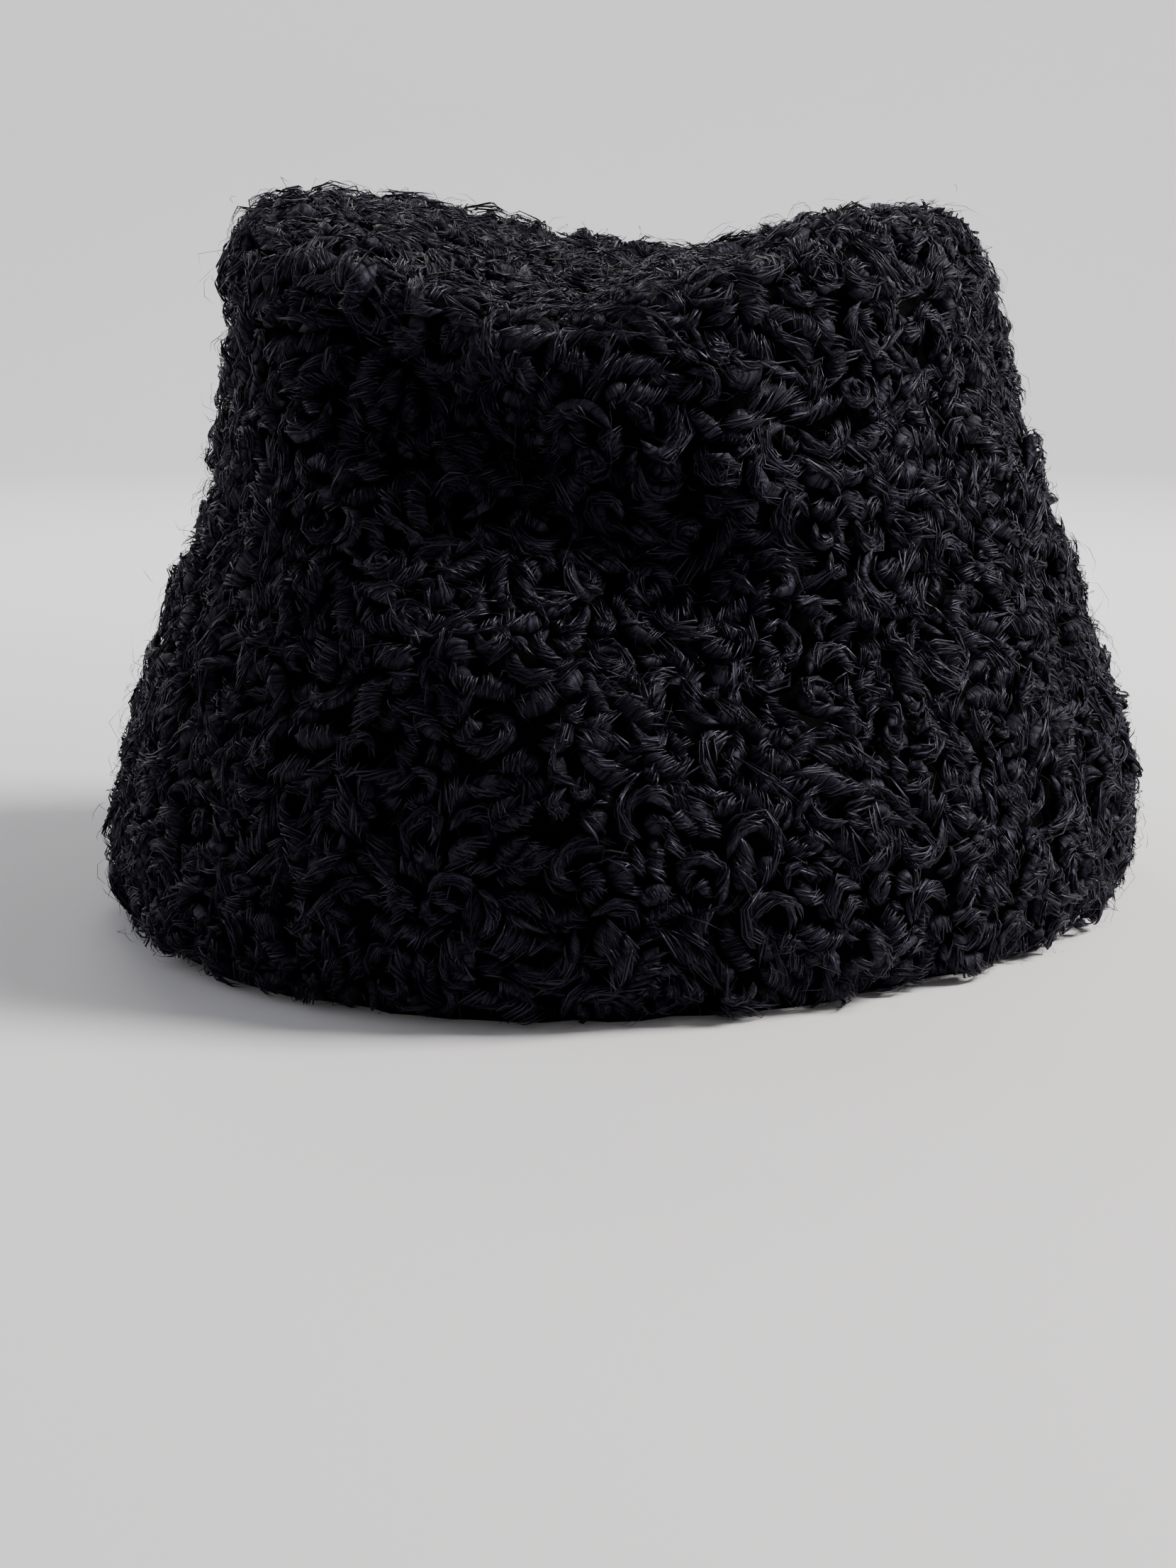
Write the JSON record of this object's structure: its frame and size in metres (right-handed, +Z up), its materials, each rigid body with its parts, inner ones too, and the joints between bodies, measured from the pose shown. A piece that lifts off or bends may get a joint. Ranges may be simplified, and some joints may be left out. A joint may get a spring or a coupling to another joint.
{
  "type": "curly lamb fur hat with a folded crown",
  "caption": "Tall black curly lamb fur hat with a flared side, a crown folded front to back and a slanting dent in the front.",
  "frame": {"origin": "middle of the flat rim, on the surface that the hat stands on", "axes": "+Z up through the crown, -Y towards the front of the hat, +X towards the wearer's left"},
  "size_m": [0.204, 0.2463, 0.1387],
  "materials": {
    "black_karakul_fur": "tight silky black curls of lamb's wool on skin"
  },
  "bodies": {
    "root": {"side_wall": "black_karakul_fur", "crown_top": "black_karakul_fur"}
  },
  "joints": []
}
